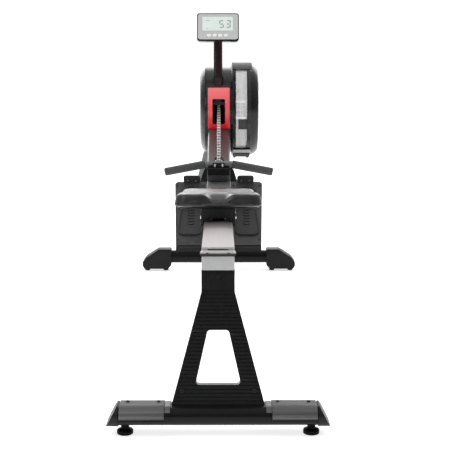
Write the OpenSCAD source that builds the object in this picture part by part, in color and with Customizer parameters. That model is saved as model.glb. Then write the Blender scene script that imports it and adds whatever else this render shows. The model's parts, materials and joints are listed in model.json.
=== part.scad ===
// Air rowing machine: high sloping rail, leaning rear leg, side fan, chain drive.
// Millimetres. +Y points from the rear leg to the fan, +X to the fan side, +Z up.
// The origin is on the floor, under the middle of the whole machine.

/* [Rail] */
// Width of the aluminium rail
rail_w = 81; // [76:1:84]
// Height of the aluminium rail
rail_h = 57; // [54:1:60]
// Height of the rail's top edge above the floor at its rear end
rail_top_z = 452; // [440:1:470]
// Fall of the rail towards the fan, in degrees
rail_slope = 1.4; // [1:0.1:2]
// Length of the rail
rail_len = 1390; // [1370:5:1400]

/* [Seat] */
// Distance from the rail's rear end to the middle of the seat
seat_s = 560; // [500:5:700]
// Width of the seat
seat_w = 262; // [240:2:280]
// Depth of the seat, front to back
seat_d = 216; // [200:2:230]
// Thickness of the padding
seat_pad_h = 34; // [28:1:40]

/* [Drive] */
// Height of the flywheel axle
axle_z = 682; // [675:1:690]
// Outer radius of the chain housing
housing_r = 196; // [190:1:200]
// Outer radius of the fan rings
fan_r = 213; // [210:1:216]
// Width of the chain housing's drum
drum_w = 111; // [106:1:114]

/* [Handle] */
// Height of the handle's bar on its rest
handle_z = 489; // [486:1:492]
// Width over both grips
handle_w = 447; // [420:1:470]
// Diameter of the grips
grip_d = 33; // [30:1:34]

/* [Feet] */
// Width over both footplates at the heels
feet_w = 318; // [310:2:326]
// Slope of the footplates, in degrees
plate_tilt = 43.4; // [42:0.2:45]
// Length of a footplate
plate_len = 298; // [290:1:304]

/* [Console] */
// Width of the console
console_w = 184; // [170:1:190]
// Height of the console's case
console_h = 124; // [116:1:128]
// Lean of the console's face, in degrees
console_lean = 12; // [8:1:16]

/* [Stands] */
// Overall width of the rear stand
rear_w = 546; // [520:2:560]
// Overall width of the front stand
front_w = 662; // [640:2:680]

/* [Hidden] */
$fn = 64;

// Whole machine, front to back
half_len = 1282;
fan_y = half_len - fan_r;
rail_y = -1172;
gap = 0.3;

// Front beam, around the rail's front end
beam_s0 = rail_len - 80;
beam_s1 = 2105;
beam_w = rail_w + 15;
beam_top = 5;
beam_bottom = -rail_h - 7;

// Rear stand
base_y = -1239;
base_d = 78;
base_h = 46;
base_z = 51;
foot_x = 228.5;
foot_r = 20;
foot_h = 28;
rear_tube_w = rear_w - 60;
leg_lean = 12.9;
leg_depth = 56;
leg_foot_z = 58;
leg_half_top = 41;
leg_half_foot = 114;
leg_straight_z = 342;
leg_rib_pitch = 9;
leg_wall = 5;
window_low = 121;
window_high = 251;
window_half_low = 53.8;
window_half_high = 27.6;

// Front stand
stab_y = 718;
stab_z = 60;
stab_r = 27.5;
stab_half = 212;
front_leg_y = 708;
front_leg_d = 70;
cap_x0 = 207;
wheel_x = 272;
wheel_y = 772;
wheel_z = 34;
wheel_r = 28;

// Drive side
drum_x0 = -56;
drum_x1 = drum_x0 + drum_w;
wall = 3;
ring_x0 = 57;
mesh_x0 = 76;
mesh_x1 = 126;
cover_x1 = 178;
rotor_r = 186;
axle_r = 8.5;
port_half = 48.5;
slot_half = 28;
slot_z0 = 627;
slot_z1 = 738;
port_z0 = 606;
port_z1 = 787;
sprocket_teeth = 10;
chain_pitch = 25.4;
sprocket_r = chain_pitch / 2 / sin(180 / sprocket_teeth);
tooth_h = 2;
spool_r = 29;
spool_y = fan_y + sprocket_r - spool_r;
spool_z = 560;

// Chain, from the sprocket's top to the handle's shackle
chain_w = 14;
chain_h = 9;
chain_y1 = 508.6;
chain_z1 = 502;
chain_off = sprocket_r + tooth_h + chain_h / 2 + 0.2;
chain_reach = norm([fan_y - chain_y1, axle_z - chain_z1]);
chain_angle = atan2(axle_z - chain_z1, fan_y - chain_y1) + asin(chain_off / chain_reach);
chain_len = sqrt(chain_reach * chain_reach - chain_off * chain_off);

// Neck, from the handle rest to the housing
neck_y0 = 508;
neck_z0 = 495;
neck_y1 = 900;
neck_z1 = 609;
neck_half = 47;
neck_angle = atan((neck_z1 - neck_z0) / (neck_y1 - neck_y0));

// Handle
handle_y = 483;
bar_r = 12.5;
droop = 10.7;
bar_half = 50;
u_bolt_x = 15.3;

// Footplates
plate_y = 72;
plate_z = 235;
plate_x0 = beam_w / 2 + 0.5;
plate_flare = 10;
plate_t = 12;
foot_mid = 104;
heel_lift = 9;
slot_arc = 24;
plate_bolts = [[151, 18], [151, 165], [159.5, plate_len - 20], [57.5, plate_len - 20]];
roller_z = 12.05;

// Console
post_y = 922;
post_z0 = 800;
post_top = 1004;
pin_y = post_y - 8;
pin_z = post_top + 6;
console_y = 884;
console_z = 1051;
case_t = 26;
button_x = [-39.5, -14.8, 9.9, 34.6];
console_x = -3;
lcd_x = -1.5;
lcd_y = 15.5;

function rail_top(y) = rail_top_z - (y - rail_y) * tan(rail_slope);

// ---- shared shapes ----

// Rail frame: origin at the top rear end of the rail, +Y along the rail
module on_rail() {
    translate([0, rail_y, rail_top_z]) rotate([-rail_slope, 0, 0]) children();
}

// Footplate frame: origin at the heel end, +Y up the plate, +Z off its face
module on_plate() {
    translate([0, plate_y, plate_z]) rotate([plate_tilt, 0, 0]) children();
}

// Console frame: origin at the middle of the face, +Z out of the face
module on_console() {
    translate([console_x, console_y, console_z]) rotate([90 - console_lean, 0, 0]) children();
}

// A flat outline in X and Z, run along +Y
module run_y(len) {
    translate([0, len, 0]) rotate([90, 0, 0]) linear_extrude(len) children();
}

// A flat outline in Y and Z, run from x0 to x1
module run_x(x0, x1) {
    translate([x0, 0, 0]) rotate([90, 0, 90]) linear_extrude(x1 - x0) children();
}

// A disc about the X axis
module disc_x(x0, x1, r) {
    translate([x0, 0, 0]) rotate([0, 90, 0]) cylinder(h = x1 - x0, r = r);
}

// A disc about the Y axis
module disc_y(y0, y1, r) {
    translate([0, y0, 0]) rotate([-90, 0, 0]) cylinder(h = y1 - y0, r = r);
}

// A rectangle with round corners, centred
module round_rect(w, h, r) {
    square([w - 2 * r, h], center = true);
    square([w, h - 2 * r], center = true);
    for (x = [-1, 1], y = [-1, 1])
        translate([x * (w / 2 - r), y * (h / 2 - r)]) circle(r);
}

// A flat oval, wide along the first axis
module flat_oval(w, h) {
    square([w - h, h], center = true);
    for (x = [-1, 1]) translate([x * (w - h) / 2, 0]) circle(h / 2);
}

module both_sides() {
    children();
    mirror([1, 0, 0]) children();
}

// ---- rail ----

module rail_outline(grow = 0) {
    translate([-rail_w / 2 - grow, -rail_h - grow]) square([rail_w + 2 * grow, rail_h + 2 * grow]);
}

module rail() {
    color("silver") on_rail() run_y(rail_len) difference() {
        rail_outline();
        for (side = [-1, 1]) {
            translate([side * (rail_w / 2 - 4.5) - 4.5, -15]) square([9, 10]);
            translate([side * (rail_w / 2 - 2.5) - 2.5, -46]) square([5, 22]);
            translate([side * 19 - 13, -51]) square([26, 30]);
        }
        translate([-25, -17]) square([50, 12]);
    }
}

module rail_end_plate() {
    color("lightgray") on_rail() translate([0, -4, 0]) run_y(4)
        translate([0, -rail_h / 2 - 11]) round_rect(rail_w, rail_h - 22, 4);
}

module rail_end_stop() {
    color("black") on_rail() {
        translate([0, -16, -14]) run_y(16) flat_oval(88, 13);
        for (x = [-1, 1]) translate([x * 26, -18, -14]) disc_y(0, 4, 3);
    }
}

module rail_front_stop() {
    color("black") on_rail() translate([0, beam_s0 - 14, 0]) run_y(14)
        translate([0, 7.5]) round_rect(60, 15, 4);
}

// ---- rear stand ----

// Distance along the leaning leg that reaches a height above the floor
function up_leg(z) = z / cos(leg_lean);

module leg_outline(inset) {
    foot = leg_half_foot - inset;
    neck = leg_half_top - inset;
    top = up_leg(rail_top_z - rail_h + 20);
    shoulder = up_leg(leg_straight_z) - inset / 2;
    polygon([
        [-foot, up_leg(leg_foot_z - 20)], [foot, up_leg(leg_foot_z - 20)],
        [foot, up_leg(leg_foot_z + 16)], [neck, shoulder], [neck, top],
        [-neck, top], [-neck, shoulder], [-foot, up_leg(leg_foot_z + 16)]]);
}

// Opening in the rear leg: narrow at the top, wide at the bottom
module leg_window(grow) {
    r = 9;
    hull() {
        for (side = [-1, 1]) {
            translate([side * (window_half_low - r), up_leg(window_low) + r]) circle(r + grow);
            translate([side * (window_half_high - r), up_leg(window_high) - r]) circle(r + grow);
        }
    }
}

// The rear leg stands in a leaning frame whose rear face is at local Y = 0
module on_leg() {
    translate([0, -1170, rail_top_z - rail_h]) rotate([-leg_lean, 0, 0])
        translate([0, 0, -up_leg(rail_top_z - rail_h)])
        children();
}

module rear_leg() {
    color("black") difference() {
        on_leg() difference() {
            run_y(leg_depth) leg_outline(0);
            translate([0, -5, 0]) run_y(leg_depth + 10) leg_window(0);
            // Hollow behind the ribbed face
            translate([0, leg_wall + 3, 0]) run_y(leg_depth) difference() {
                leg_outline(leg_wall);
                leg_window(leg_wall);
                translate([-60, up_leg(leg_straight_z + 20)]) square([120, 100]);
            }
            for (z = [leg_foot_z + 24 : leg_rib_pitch : leg_straight_z + 4])
                translate([-150, -1, up_leg(z)]) cube([300, 3.2, 3.4]);
        }
        on_rail() translate([-60, -60, -rail_h]) cube([120, 400, 100]);
        translate([-160, base_y - 90, 0]) cube([320, 220, base_z - 12]);
        translate([0, base_y, base_z]) run_x(-160, 160) flat_oval(base_d, base_h);
    }
}

module frame_bolts() {
    color("silver") {
        on_leg() for (p = [[0, 380], [-88, 107], [88, 107]])
            translate([p[0], -3, up_leg(p[1])]) disc_y(0, 3, 6);
        for (side = [-1, 1], x = [146, 222])
            translate([side * x, base_y + 12, base_z + base_h / 2 + 3.5]) cylinder(h = 2.4, r = 4.5);
        on_plate() for (side = [-1, 1], p = plate_bolts)
            translate([side * p[0], p[1], 0]) cylinder(h = 1.6, r = 4);
        on_plate() for (side = [-1, 1], x = [foot_mid - 15, foot_mid + 15])
            translate([side * x, plate_len, 6]) disc_y(-2, 0, 3.6);
    }
}

module rear_beam() {
    color("black") difference() {
        translate([0, base_y, base_z]) run_x(-rear_tube_w / 2, rear_tube_w / 2) flat_oval(base_d, base_h);
        translate([0, base_y, base_z]) run_x(-rear_tube_w / 2 - 1, rear_tube_w / 2 + 1)
            flat_oval(base_d - 5, base_h - 5);
        for (side = [-1, 1]) translate([side * foot_x, base_y, 10]) cylinder(h = 30, r = 6.2);
    }
}

// Ribbed aluminium cover that wraps the top and both edges of the tube
module rear_pad() {
    difference() {
        translate([0, base_y, base_z]) run_x(131, 240) flat_oval(base_d + 8, base_h + 7);
        translate([0, base_y, base_z]) run_x(130, 241) flat_oval(base_d + 0.2, base_h + 0.2);
        translate([120, base_y - 60, 0]) cube([130, 120, 42]);
        for (z = [46 : 4.2 : 66]) for (side = [-1, 1])
            translate([120, base_y + side * (base_d / 2 + 4) - 1.4, z]) cube([130, 2.8, 2]);
        for (y = [-24 : 6 : 24])
            translate([120, base_y + y - 1.2, base_z + base_h / 2 + 2.4]) cube([130, 2.4, 3]);
    }
}

module rear_pads() {
    color("silver") both_sides() {
        rear_pad();
        difference() {
            translate([0, base_y, base_z]) run_x(116.5, 129.5) flat_oval(base_d + 5, base_h + 4);
            translate([0, base_y, base_z]) run_x(115, 131) flat_oval(base_d + 0.2, base_h + 0.2);
            translate([110, base_y - 60, 0]) cube([30, 120, 42]);
        }
    }
}

module rear_caps() {
    x0 = rear_tube_w / 2;
    color("black") both_sides() difference() {
        translate([0, base_y, base_z]) run_x(x0, rear_w / 2) flat_oval(base_d + 6, base_h + 5);
        translate([x0, 0, base_z + 30]) rotate([0, 32, 0])
            translate([0, base_y - 60, 0]) cube([80, 120, 60]);
    }
}

module rear_foot(side) {
    color("black") translate([side * foot_x, base_y, 0]) {
        cylinder(h = 10, r = foot_r);
        translate([0, 0, 10]) cylinder(h = 4, r1 = foot_r, r2 = 12);
        cylinder(h = foot_h - 1, r = 10);
        cylinder(h = foot_h + 20, r = 6.15 - 0.05);
    }
}
module rear_foot_left() { rear_foot(-1); }
module rear_foot_right() { rear_foot(1); }

// ---- front stand ----

module front_beam() {
    color("dimgray") on_rail() translate([0, beam_s0, 0]) run_y(beam_s1 - beam_s0) difference() {
        translate([0, (beam_top + beam_bottom) / 2]) round_rect(beam_w, beam_top - beam_bottom, 4);
        rail_outline();
    }
}

module front_leg_outline(inset) {
    w = inset;
    polygon([[47 + w, 452 - w], [56 - w, 452 - w], [66 - w, 434 - w], [182 - 1.5 * w, stab_z + 8 + w],
             [182 - 1.5 * w, stab_z + w], [128 + w, stab_z + w], [48.2 + w, 330 + 2 * w]]);
}

// One front leg: a box tube that leans out from the beam to the stabilizer
module front_leg() {
    difference() {
        translate([0, front_leg_y, 0]) run_y(front_leg_d) front_leg_outline(0);
        translate([0, front_leg_y + 3, 0]) run_y(front_leg_d - 6) front_leg_outline(3);
        translate([0, stab_y, stab_z]) disc_x(-250, 250, stab_r + 0.1);
        on_rail() translate([0, beam_s0, 0]) run_y(900)
            translate([0, (beam_top + beam_bottom) / 2])
                square([beam_w, beam_top - beam_bottom], center = true);
    }
}

module front_legs() {
    color("black") both_sides() front_leg();
}

module leg_brace() {
    color("lightgray") translate([0, front_leg_y + front_leg_d, 0]) run_y(40)
        polygon([[-neck_half, 512], [-66, 512], [-90, 412], [-162, 190], [-118, 190], [-62, 400],
                 [-neck_half, 430]]);
}

module front_stabilizer() {
    color("black") difference() {
        translate([0, stab_y, stab_z]) disc_x(-stab_half, stab_half, stab_r);
        translate([0, stab_y, stab_z]) disc_x(-stab_half - 1, stab_half + 1, stab_r - 3);
    }
}

module front_cap() {
    x1 = front_w / 2;
    difference() {
        union() {
            translate([0, stab_y - 37, 0]) run_y(74) polygon([
                [cap_x0, 92], [cap_x0 + 4, 96], [262, 96], [x1 - 14, 60], [x1, 40],
                [x1, 24], [x1 - 8, 12], [cap_x0 + 14, 12], [cap_x0, 28]]);
            for (x = [232, 312]) translate([x, stab_y, 0]) cylinder(h = 13, r = 11);
            for (x = [wheel_x - 17.5, wheel_x + 12.5])
                translate([x, 0, 0]) run_x(0, 5) {
                    translate([wheel_y, wheel_z]) circle(14);
                    translate([stab_y + 30, wheel_z - 14]) square([wheel_y - stab_y - 30, 28]);
                }
        }
        translate([0, stab_y, stab_z]) disc_x(cap_x0 - 1, stab_half + 0.2, stab_r + 0.1);
        translate([wheel_x - 13, stab_y + 20, -10]) cube([26, 120, 90]);
        translate([0, wheel_y, wheel_z]) disc_x(wheel_x - 30, wheel_x + 30, 5);
        for (side = [-1, 1]) translate([cap_x0 - 5, stab_y + side * 37, 96]) rotate([45, 0, 0])
            translate([0, -7, -7]) cube([140, 14, 14]);
    }
}

module front_caps() {
    color("black") both_sides() {
        front_cap();
        translate([0, wheel_y, wheel_z]) disc_x(wheel_x - 17.5, wheel_x + 17.5, 5);
    }
}

module wheel(side) {
    color("dimgray") translate([side * wheel_x, wheel_y, wheel_z]) difference() {
        rotate([0, 90, 0]) rotate_extrude()
            polygon([[5.05, -11], [wheel_r - 2, -11], [wheel_r, -8], [wheel_r, 8],
                     [wheel_r - 2, 11], [5.05, 11]]);
        for (face = [-1, 1]) disc_x(face * 11 - 3, face * 11 + 3, wheel_r - 8);
    }
    color("dimgray") translate([side * wheel_x, wheel_y, wheel_z]) difference() {
        disc_x(-11, 11, 9);
        disc_x(-12, 12, 5.05);
    }
}
module wheel_left() { wheel(-1); }
module wheel_right() { wheel(1); }

// ---- neck and mast ----

module neck_side() {
    polygon([
        [neck_y0, rail_top(neck_y0) + beam_top], [neck_y0, neck_z0 - 5], [neck_y0 + 5, neck_z0 + 1],
        [neck_y1, neck_z1], [neck_y1, rail_top(neck_y1) + beam_top]]);
}

module neck_cover() {
    color("gray") difference() {
        intersection() {
            run_x(-neck_half, neck_half) neck_side();
            translate([0, neck_y0, neck_z0]) rotate([neck_angle, 0, 0]) translate([0, -60, 0])
                run_y(600) polygon([
                    [-neck_half + 6, 0.5], [neck_half - 6, 0.5], [neck_half, -6], [neck_half, -230],
                    [-neck_half, -230], [-neck_half, -6]]);
        }
        translate([0, 3, -3]) run_x(-neck_half + wall, neck_half - wall) polygon([
            [neck_y0, 300], [neck_y0, neck_z0 - 8], [neck_y0 + 5, neck_z0 - 3],
            [neck_y1 + 20, neck_z1 + 2], [neck_y1 + 20, 300]]);
        translate([0, fan_y, axle_z]) disc_x(-100, 100, housing_r + gap);
    }
}

// Cradle on the neck's rear face, and two slanted ribs on the neck beside the chain
module handle_rest() {
    color("black") {
        difference() {
            run_x(-46, 46) polygon([
                [neck_y0, handle_z - 44], [neck_y0, neck_z0 - 4], [neck_y0 - 4, neck_z0 - 4],
                [handle_y + 17, handle_z - 6], [handle_y + 8, handle_z - 12.8],
                [handle_y - 22, handle_z - 12.8], [handle_y - 26, handle_z - 18],
                [handle_y - 22, handle_z - 44]]);
            translate([0, handle_y, handle_z]) disc_x(-60, 60, bar_r + 0.3);
            translate([-30, handle_y - 40, handle_z - 9]) cube([60, 70, 40]);
        }
        both_sides() translate([0, neck_y0, neck_z0]) rotate([neck_angle, 0, 0])
            translate([0, 0, 0.6]) linear_extrude(3)
                polygon([[22, 7], [16, 7], [8, 50], [13, 50]]);
    }
}

// Steel plates that carry the axle, welded to the front end of the beam
module mast() {
    color("dimgray") difference() {
        union() {
            for (x = [-36, 30]) run_x(x, x + 6) {
                translate([fan_y, axle_z]) circle(34);
                polygon([
                    [720, rail_top(720) + beam_top], [930, rail_top(930) + beam_top],
                    [spool_y + 34, 530], [spool_y + 34, 600], [fan_y + 28, axle_z - 18],
                    [fan_y - 28, axle_z + 18], [fan_y - 60, axle_z - 70], [820, 520]]);
                // Arm that holds the console post
                polygon([[fan_y - 60, axle_z - 70], [fan_y - 28, axle_z + 18], [post_y + 16, axle_z + 43],
                         [post_y - 18, axle_z + 43], [post_y - 18, axle_z + 22]]);
            }
            translate([0, spool_y, spool_z]) disc_x(-36, 36, 5);
            translate([-30, 850, 440]) cube([60, 40, 6]);
            on_rail() translate([-36, 760 - rail_y, beam_top]) cube([72, 150, 4]);
        }
        translate([0, fan_y, axle_z]) disc_x(-60, 60, 16.02);
    }
}

// ---- chain housing ----

// Opening for the chain, run along Y through the rear of the housing
module slot_run(grow) {
    translate([0, fan_y - housing_r - 40, (slot_z0 + slot_z1) / 2]) run_y(120)
        round_rect(2 * (slot_half + grow), slot_z1 - slot_z0 + 2 * grow, 6 + grow);
}

module housing_shell() {
    color([0.22, 0.22, 0.23]) difference() {
        translate([0, fan_y, axle_z]) disc_x(drum_x0, drum_x1, housing_r);
        translate([0, fan_y, axle_z]) disc_x(drum_x0 - 1, drum_x1 - wall, housing_r - wall);
        translate([0, fan_y, axle_z]) disc_x(0, 100, 36);
        slot_run(4);
        run_x(-neck_half + wall, neck_half - wall) polygon([
            [820, 380], [1104, 380], [1104, 540], [960, 540], [950, 602], [820, 602]]);
        translate([console_x, post_y, post_z0 - 30]) linear_extrude(120) flat_oval(42, 24);
    }
}

module housing_side_cover() {
    deep = 28;
    color([0.12, 0.12, 0.13]) translate([0, fan_y, axle_z]) rotate([0, -90, 0])
        rotate_extrude() polygon([
            [0, -drum_x0 + 18 - wall], [70, -drum_x0 + 18 - wall], [84, -drum_x0 + deep - 4 - wall],
            [150, -drum_x0 + deep - wall], [172, -drum_x0 + 20 - wall], [190, -drum_x0 + 5],
            [190, -drum_x0 - 12], [192.7, -drum_x0 - 12], [192.7, -drum_x0],
            [housing_r, -drum_x0], [195, -drum_x0 + 6],
            [175, -drum_x0 + 22], [152, -drum_x0 + deep], [84, -drum_x0 + deep - 3],
            [72, -drum_x0 + 18], [0, -drum_x0 + 18]]);
}

// Moulded red surround of the chain opening, with a throat into the housing
module chain_port() {
    color("red") difference() {
        union() {
            intersection() {
                translate([0, fan_y, axle_z]) difference() {
                    disc_x(-port_half, port_half, housing_r + 3.2);
                    disc_x(-port_half - 1, port_half + 1, housing_r + 0.1);
                }
                translate([-60, fan_y - housing_r - 30, port_z0]) cube([120, 120, port_z1 - port_z0]);
            }
            intersection() {
                slot_run(3.8);
                translate([0, fan_y, axle_z]) difference() {
                    disc_x(-60, 60, housing_r + 3.2);
                    disc_x(-61, 61, housing_r - 18);
                }
            }
        }
        slot_run(0);
    }
}

// ---- console post ----

module console_post() {
    color("black") {
        translate([console_x, 0, 0]) difference() {
            translate([0, post_y, post_z0]) linear_extrude(post_top - post_z0 - 4) flat_oval(39, 22);
            translate([0, post_y, post_z0 + 6]) linear_extrude(post_top - post_z0 - 30) flat_oval(34, 17);
        }
        // Ears that hold the console's hinge pin
        for (x = [console_x - 17, console_x + 13]) run_x(x, x + 4) {
            translate([pin_y, pin_z]) circle(8);
            polygon([[post_y - 9, post_top - 22], [post_y + 6, post_top - 22], [post_y + 4, post_top + 2],
                     [pin_y + 6, pin_z + 5], [pin_y - 8, pin_z]]);
        }
        translate([console_x, pin_y, pin_z]) disc_x(-17, 17, 3);
        // Collar on the housing
        difference() {
            translate([console_x, post_y, post_z0 - 8]) linear_extrude(42) flat_oval(48, 31);
            translate([0, fan_y, axle_z]) disc_x(-60, 60, housing_r + 0.1);
            translate([console_x, post_y, post_z0 - 9]) linear_extrude(60) flat_oval(39, 22);
        }
        translate([console_x - 15, post_y - 8, axle_z + 40]) cube([30, 16, post_z0 - axle_z - 40]);
        translate([-30, post_y - 8, axle_z + 28]) cube([60, 16, 14]);
    }
}

// ---- fan ----

module fan_inner_ring() {
    color([0.2, 0.2, 0.21]) translate([0, fan_y, axle_z]) difference() {
        rotate([0, 90, 0]) rotate_extrude() polygon([
            [26, drum_x1], [fan_r - 8, drum_x1], [fan_r, ring_x0 + 5],
            [fan_r, mesh_x0], [fan_r - 6, mesh_x0], [fan_r - 6, ring_x0 + 6],
            [fan_r - 12, ring_x0 + 3], [26, ring_x0 + 3]]);
        for (a = [0 : 60 : 300]) rotate([a, 0, 0]) translate([0, 0, 90]) disc_x(40, 80, 24);
    }
}

module fan_guard() {
    color("silver") translate([0, fan_y, axle_z]) rotate([0, 90, 0]) rotate_extrude()
        polygon([[fan_r - 8.5, mesh_x0 - 8], [fan_r - 6.2, mesh_x0 - 8],
                 [fan_r - 6.2, mesh_x1 + 8], [fan_r - 8.5, mesh_x1 + 8]]);
}

module fan_side_cover() {
    color([0.15, 0.15, 0.16]) difference() {
        translate([0, fan_y, axle_z]) rotate([0, 90, 0]) rotate_extrude() polygon([
            [fan_r - 6, mesh_x1], [fan_r, mesh_x1], [fan_r, mesh_x1 + 16], [fan_r - 4, mesh_x1 + 17],
            [fan_r - 10, cover_x1 - 20], [fan_r - 22, cover_x1 - 4], [fan_r - 34, cover_x1],
            [132, cover_x1], [132, cover_x1 - 4], [118, cover_x1 - 14], [40, cover_x1 - 14],
            [40, cover_x1 - 17], [119, cover_x1 - 17], [135, cover_x1 - 4], [fan_r - 36, cover_x1 - 4],
            [fan_r - 25, cover_x1 - 8], [fan_r - 14, cover_x1 - 22], [fan_r - 8, mesh_x1 + 16],
            [fan_r - 6, mesh_x1 + 10]]);
        translate([0, fan_y, axle_z]) for (a = [0 : 30 : 330]) rotate([a, 0, 0]) {
            translate([cover_x1 - 20, -5, 62]) cube([12, 10, 44]);
        }
    }
    color([0.15, 0.15, 0.16]) translate([0, fan_y, axle_z]) difference() {
        disc_x(cover_x1 - 17, cover_x1 - 13, 41);
        disc_x(cover_x1 - 18, cover_x1 - 12, 12.2);
    }
}

// Wedge of the fan's circle, its angles taken from straight up towards the rear
module fan_wedge(a0, a1) {
    r = 300;
    run_x(0, r) polygon(concat([[0, 0]],
        [for (i = [0 : 8]) let (a = a0 + (a1 - a0) * i / 8) [-r * sin(a), r * cos(a)]]));
}

// Strap over the top of the guard, and a small panel on its mesh
module guard_clamp() {
    color([0.1, 0.1, 0.1]) translate([0, fan_y, axle_z]) {
        intersection() {
            difference() {
                disc_x(60, 150, fan_r + 3);
                disc_x(0, 300, fan_r + 0.1);
            }
            fan_wedge(-10, 30);
        }
        intersection() {
            difference() {
                disc_x(87, mesh_x1 - 0.3, fan_r - 4.6);
                disc_x(0, 300, fan_r - 6.1);
            }
            fan_wedge(99, 112);
        }
    }
}

// Tray under the guard, with a light bar along its rear edge and two nubs
module guard_tray() {
    color([0.1, 0.1, 0.1]) translate([0, fan_y, axle_z]) {
        intersection() {
            difference() {
                disc_x(ring_x0 + 8, mesh_x1 + 14, fan_r + 4);
                disc_x(0, 300, fan_r + 0.1);
            }
            fan_wedge(142, 218);
        }
        intersection() {
            difference() {
                disc_x(65, 144, fan_r + 7);
                disc_x(0, 300, fan_r + 0.1);
            }
            fan_wedge(142, 149);
        }
        for (x = [ring_x0 + 16, mesh_x1 + 6])
            translate([x, 0, -fan_r - 9]) cylinder(h = 7, r = 6);
    }
}

module fan_rotor() {
    color("gray") translate([0, fan_y, axle_z]) {
        difference() {
            union() {
                disc_x(68, 71, rotor_r);
                disc_x(66, 140, 26);
            }
            disc_x(60, 150, axle_r + 0.02);
        }
        difference() {
            disc_x(134, 137, rotor_r);
            disc_x(130, 140, 110);
        }
        for (a = [0 : 18 : 342]) rotate([a, 0, 0]) translate([70, -1.2, 118]) rotate([20, 0, 0])
            cube([65, 2.4, rotor_r - 126]);
    }
}

module damper() {
    color("black") translate([0, fan_y, axle_z]) {
        difference() {
            disc_x(cover_x1 - 13.7, cover_x1 - 10.7, 116);
            disc_x(cover_x1 - 14, cover_x1 - 8, 54);
            for (a = [0 : 30 : 330]) rotate([a + 12, 0, 0])
                translate([cover_x1 - 14, -6, 62]) cube([8, 12, 44]);
        }
        rotate([-60, 0, 0]) translate([cover_x1 - 11, -7, 92]) cube([9, 14, 20]);
    }
}

// ---- drive ----

module axle() {
    color("silver") translate([0, fan_y, axle_z]) disc_x(-44, cover_x1 - 5, axle_r);
}

module bearings() {
    color("silver") translate([0, fan_y, axle_z]) for (x = [-37, 28, cover_x1 - 17]) {
        r = x > 100 ? 12.2 : 16;
        difference() {
            disc_x(x, x + 9, r);
            disc_x(x - 1, x + 10, axle_r + 0.03);
        }
    }
}

module tooth_wheel(pitch_r, teeth, width) {
    difference() {
        disc_x(-width / 2, width / 2, pitch_r + tooth_h);
        for (i = [0 : teeth - 1]) rotate([i * 360 / teeth, 0, 0])
            translate([0, 0, pitch_r]) disc_x(-width, width, 4.2);
    }
}

module sprocket() {
    color("dimgray") translate([0, fan_y, axle_z]) difference() {
        union() {
            tooth_wheel(sprocket_r, sprocket_teeth, 7);
            disc_x(-18, 18, 20);
        }
        disc_x(-30, 30, axle_r + 0.06);
    }
}

// Spring-loaded spool that takes up the chain's free end
module return_spool() {
    color("dimgray") translate([0, spool_y, spool_z]) rotate([0, 90, 0]) rotate_extrude() polygon([
        [5.06, -14], [spool_r + 5, -14], [spool_r + 5, -11], [spool_r - 4, -8],
        [spool_r - 4, 8], [spool_r + 5, 11], [spool_r + 5, 14], [5.06, 14]]);
}

// Run of the chain from the sprocket to the shackle, and its end down to the spool
module chain() {
    color("silver") {
        translate([0, chain_y1, chain_z1]) rotate([chain_angle, 0, 0])
            translate([-chain_w / 2, 0, -chain_h / 2]) cube([chain_w, chain_len, chain_h]);
        translate([-chain_w / 2, fan_y + sprocket_r + tooth_h + 0.2, spool_z])
            cube([chain_w, chain_h, axle_z - spool_z]);
    }
}

// ---- footplates ----

module plate_outline() {
    r = 14;
    x1 = feet_w / 2;
    polygon(concat(
        [[plate_x0, 0], [x1, 0]],
        [for (a = [0 : 15 : 90]) [x1 + plate_flare - r + r * cos(a), plate_len - r + r * sin(a)]],
        [[plate_x0, plate_len]]));
}

module foot_base() {
    on_plate() difference() {
        union() {
            translate([0, 0, -plate_t]) linear_extrude(plate_t) plate_outline();
            for (x = [plate_x0 + 4, foot_mid - 3, feet_w / 2 - 12])
                translate([x, 20, -34]) cube([6, plate_len - 60, 23]);
        }
        for (i = [0 : 6], j = [0 : 2])
            translate([70 + i * 12 + (j % 2) * 6, plate_len - 40 + j * 10, -1])
                cylinder(h = 2, r = 4.4, $fn = 6);
        for (p = plate_bolts) translate([p[0], p[1], -20]) cylinder(h = 30, r = 2.5);
    }
    // Upright face below the heel end
    difference() {
        translate([plate_x0, plate_y + 1, plate_z - 32]) cube([feet_w / 2 - plate_x0, 16, 60]);
        on_plate() translate([0, -100, -plate_t]) cube([400, 600, 200]);
    }
    // Bracket under the plate that reaches the beam
    difference() {
        translate([0, plate_y + 110, 0]) run_y(110)
            polygon([[beam_w / 2, 400], [beam_w / 2 + 6, 400], [beam_w / 2 + 70, 330],
                     [beam_w / 2 + 70, 300], [beam_w / 2, 345]]);
        on_plate() translate([0, -100, -plate_t]) cube([400, 600, 200]);
    }
}

module foot_base_left() { color([0.25, 0.25, 0.26]) mirror([1, 0, 0]) foot_base(); }
module foot_base_right() { color([0.25, 0.25, 0.26]) foot_base(); }

module toe_tabs() {
    color([0.27, 0.27, 0.28]) both_sides() on_plate()
        translate([foot_mid, plate_len, 9.5]) run_y(5) round_rect(65, 49, 12);
}

// Webbing band that arches over the foot
module strap_arch(lift) {
    polygon([for (a = [0 : 9 : 180]) [foot_mid - (52 + lift) * cos(a), (54 + lift) * sin(a)]]);
}

module foot_straps() {
    color([0.1, 0.1, 0.1]) both_sides() on_plate() translate([0, 190, 0]) {
        run_y(38) difference() {
            strap_arch(0);
            strap_arch(-2.6);
        }
        translate([foot_mid - 13, -2, 52]) cube([26, 42, 6]);
    }
}

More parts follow.
